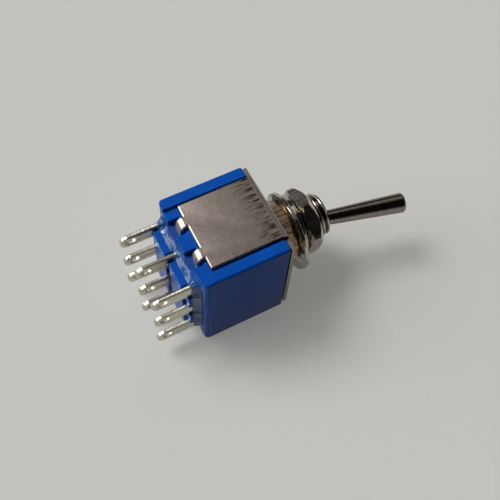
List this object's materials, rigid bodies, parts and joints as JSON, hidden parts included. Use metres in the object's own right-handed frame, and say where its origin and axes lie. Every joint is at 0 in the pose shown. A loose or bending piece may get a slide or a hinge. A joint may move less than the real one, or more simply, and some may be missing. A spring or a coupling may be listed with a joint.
{
  "type": "toggle switch",
  "caption": "Miniature panel toggle switch with a threaded neck, a tapered bat lever, a folded steel frame on a moulded case, and solder lugs.",
  "frame": {"origin": "on the bushing's axis, at the front face of the steel frame that seats against a panel", "axes": "+X along the bushing towards the lever's tip; Y across the throws, the lever leans towards -Y at rest; +Z across the poles, out of the cheek that faces up"},
  "size_m": [0.0374, 0.0132, 0.0162],
  "materials": {
    "blue_nylon": "moulded, satin gloss",
    "frame_steel": "nickel-plated sheet with drawing lines",
    "neck_nickel": "nickel-plated brass",
    "nut_nickel": "nickel-plated, machined flats",
    "washer_nickel": "nickel-plated, stamped",
    "lever_chrome": "dark bright nickel",
    "pin_steel": "plain",
    "natural_nylon": "moulded",
    "plunger_brass": "turned",
    "spring_steel": "wire",
    "contact_silver": "silver-plated",
    "lug_tin": "tinned, sheared edges",
    "clear_resin": "poured, glossy"
  },
  "bodies": {
    "case": {"housing": "blue_nylon", "frame": "frame_steel", "bushing": "neck_nickel", "inner_nut": "nut_nickel", "terminal_1a": "lug_tin", "terminal_1b": "lug_tin", "terminal_1c": "lug_tin", "terminal_2a": "lug_tin", "terminal_2b": "lug_tin", "terminal_2c": "lug_tin", "terminal_3a": "lug_tin", "terminal_3b": "lug_tin", "terminal_3c": "lug_tin", "terminal_seal": "clear_resin"},
    "washers": {"keyed_washer": "washer_nickel", "lock_washer": "washer_nickel"},
    "clamp_nut": {"outer_nut": "nut_nickel"},
    "lever": {"lever": "lever_chrome", "pivot_pin": "pin_steel", "actuator": "natural_nylon", "spring_1": "spring_steel", "spring_2": "spring_steel", "spring_3": "spring_steel"},
    "plunger_1": {"plunger_1": "plunger_brass"},
    "plunger_2": {"plunger_2": "plunger_brass"},
    "plunger_3": {"plunger_3": "plunger_brass"},
    "rocker_1": {"rocker_1": "contact_silver"},
    "rocker_2": {"rocker_2": "contact_silver"},
    "rocker_3": {"rocker_3": "contact_silver"}
  },
  "joints": [
    {"name": "nut_travel", "type": "slide", "parent": "case", "child": "washers", "axis": [1, 0, 0], "range_m": [0, 0.0015]},
    {"name": "nut_turn", "type": "hinge", "parent": "washers", "child": "clamp_nut", "pos_m": [0, 0, 0], "axis": [1, 0, 0], "range_deg": [0, 721]},
    {"name": "lever_hinge", "type": "hinge", "parent": "case", "child": "lever", "pos_m": [0.004, 0, 0], "axis": [0, 0, 1], "range_deg": [0, 26.4]},
    {"name": "plunger_1_slide", "type": "slide", "parent": "lever", "child": "plunger_1", "axis": [0.9736, -0.2284, 0], "range_m": [0, 0.0004], "stiffness_N_per_m": 250, "springref_m": -0.001, "deforming": ["spring_1"]},
    {"name": "plunger_2_slide", "type": "slide", "parent": "lever", "child": "plunger_2", "axis": [0.9736, -0.2284, 0], "range_m": [0, 0.0004], "stiffness_N_per_m": 250, "springref_m": -0.001, "deforming": ["spring_2"]},
    {"name": "plunger_3_slide", "type": "slide", "parent": "lever", "child": "plunger_3", "axis": [0.9736, -0.2284, 0], "range_m": [0, 0.0004], "stiffness_N_per_m": 250, "springref_m": -0.001, "deforming": ["spring_3"]},
    {"name": "rocker_1_hinge", "type": "hinge", "parent": "case", "child": "rocker_1", "pos_m": [-0.0067, 0, 0.0048], "axis": [0, 0, 1], "range_deg": [-12.01, 0]},
    {"name": "rocker_2_hinge", "type": "hinge", "parent": "case", "child": "rocker_2", "pos_m": [-0.0067, 0, 0], "axis": [0, 0, 1], "range_deg": [-12.01, 0]},
    {"name": "rocker_3_hinge", "type": "hinge", "parent": "case", "child": "rocker_3", "pos_m": [-0.0067, 0, -0.0048], "axis": [0, 0, 1], "range_deg": [-12.01, 0]}
  ],
  "couplings": [
    {"joint": "nut_turn", "follows": "nut_travel", "rad_per_m": 8377.6},
    {"joint": "rocker_1_hinge", "follows": "lever_hinge", "ratio": -0.45455},
    {"joint": "rocker_2_hinge", "follows": "lever_hinge", "ratio": -0.45455},
    {"joint": "rocker_3_hinge", "follows": "lever_hinge", "ratio": -0.45455}
  ]
}
